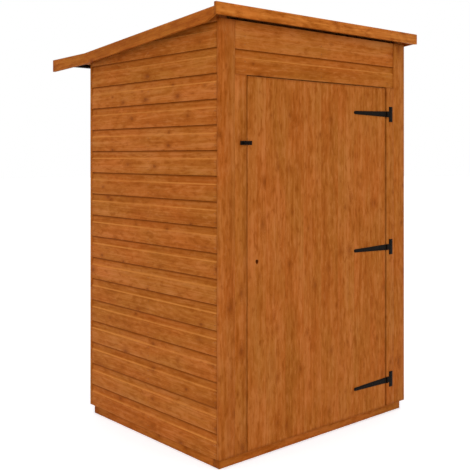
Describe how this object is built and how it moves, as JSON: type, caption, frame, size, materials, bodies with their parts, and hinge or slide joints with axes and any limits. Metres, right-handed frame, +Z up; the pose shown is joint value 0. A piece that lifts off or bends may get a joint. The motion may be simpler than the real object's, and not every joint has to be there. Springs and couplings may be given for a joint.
{
  "type": "pent tool shed",
  "caption": "Timber tool shed with a single-slope felted roof, shiplap walls, deep rear eaves, and a braced board door that opens on T hinges, with a hasp and a keyhole.",
  "frame": {"origin": "on the ground, at the centre of the floor joists' outline, under the middle joist", "axes": "+Z up, -Y out of the door side, +X to the right as seen from in front of the door, on the hinge side"},
  "size_m": [1.42, 1.41, 2.0199],
  "materials": {
    "wall_timber": "golden brown dip-treated softwood, satin",
    "door_timber": "golden brown dip-treated softwood boards, satin",
    "trim_timber": "golden brown dip-treated planed softwood, satin",
    "frame_timber": "treated sawn softwood, matt",
    "floor_timber": "treated softwood floor boards, matt",
    "roof_timber": "treated softwood roof boards, matt",
    "felt": "charcoal mineral roofing felt, matt",
    "black_iron": "black painted steel, satin"
  },
  "bodies": {
    "shed": {"floor_deck": "floor_timber", "front_joist": "frame_timber", "back_joist": "frame_timber", "left_joist": "frame_timber", "right_joist": "frame_timber", "middle_joist": "frame_timber", "left_cladding": "wall_timber", "right_cladding": "wall_timber", "back_cladding": "wall_timber", "header_cladding": "wall_timber", "left_jamb_board": "trim_timber", "right_jamb_board": "trim_timber", "front_left_trim": "trim_timber", "front_right_trim": "trim_timber", "back_left_trim": "trim_timber", "back_right_trim": "trim_timber", "corner_posts": "frame_timber", "door_posts": "frame_timber", "middle_studs": "frame_timber", "bottom_rails": "frame_timber", "side_top_rails": "frame_timber", "back_top_rail": "frame_timber", "front_top_rail": "frame_timber", "head_rail": "frame_timber", "threshold": "frame_timber", "roof_deck": "roof_timber", "eaves_deck": "roof_timber", "roof_felt": "felt", "purlin": "frame_timber", "eaves_batten": "frame_timber", "front_fascia": "trim_timber", "left_fascia": "trim_timber", "right_fascia": "trim_timber", "left_eaves_fascia": "trim_timber", "right_eaves_fascia": "trim_timber", "hinge_plates": "black_iron", "staple_plate": "black_iron", "hasp_staple": "black_iron"},
    "door": {"door_boards": "door_timber", "door_ledges": "frame_timber", "door_braces": "frame_timber", "hinge_straps": "black_iron", "rim_lock": "black_iron", "hasp_leaf": "black_iron"},
    "hasp": {"hasp_strap": "black_iron"}
  },
  "joints": [
    {"name": "door_swing", "type": "hinge", "parent": "shed", "child": "door", "pos_m": [0.50225, -0.535, 0.88225], "axis": [0, 0, 1], "range_deg": [0, 160]},
    {"name": "hasp_swing", "type": "hinge", "parent": "door", "child": "hasp", "pos_m": [-0.4885, -0.5332, 1.4215], "axis": [0, 0, 1], "range_deg": [0, 150]}
  ]
}
